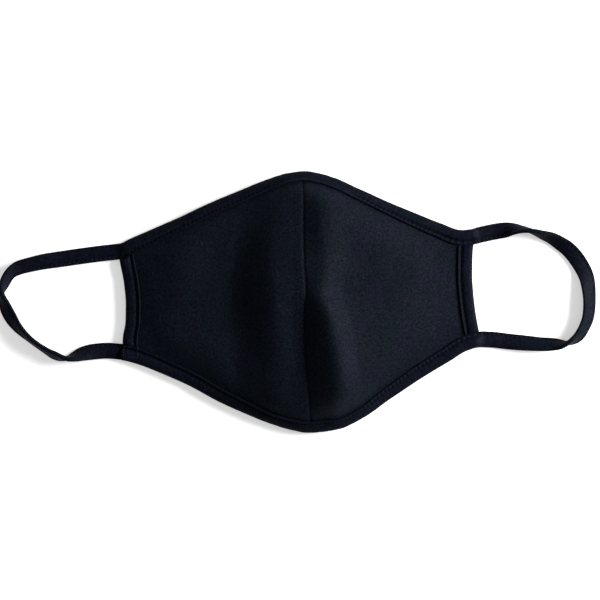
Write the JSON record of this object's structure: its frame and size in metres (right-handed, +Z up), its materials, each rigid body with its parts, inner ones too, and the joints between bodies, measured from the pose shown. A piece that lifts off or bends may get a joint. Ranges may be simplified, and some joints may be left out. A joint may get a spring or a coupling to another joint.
{
  "type": "cloth face mask",
  "caption": "Reusable cloth face mask lying front side up: half panels joined by a centre seam, bound edges and tape ear loops.",
  "frame": {"origin": "middle of the mask's box in plan, on the surface that it lies on", "axes": "+X along the mask towards the right ear loop in the picture, +Y towards the nose edge, +Z up, out of the mask's front"},
  "size_m": [0.3581, 0.1564, 0.0295],
  "materials": {
    "panel_cloth": "soft black knit, matt",
    "binding_tape": "black folded knit tape, matt with a soft sheen"
  },
  "bodies": {
    "root": {"left_panel": "panel_cloth", "right_panel": "panel_cloth", "top_binding": "binding_tape", "bottom_binding": "binding_tape", "left_side_binding": "binding_tape", "right_side_binding": "binding_tape", "left_ear_loop": "binding_tape", "right_ear_loop": "binding_tape"}
  },
  "joints": []
}
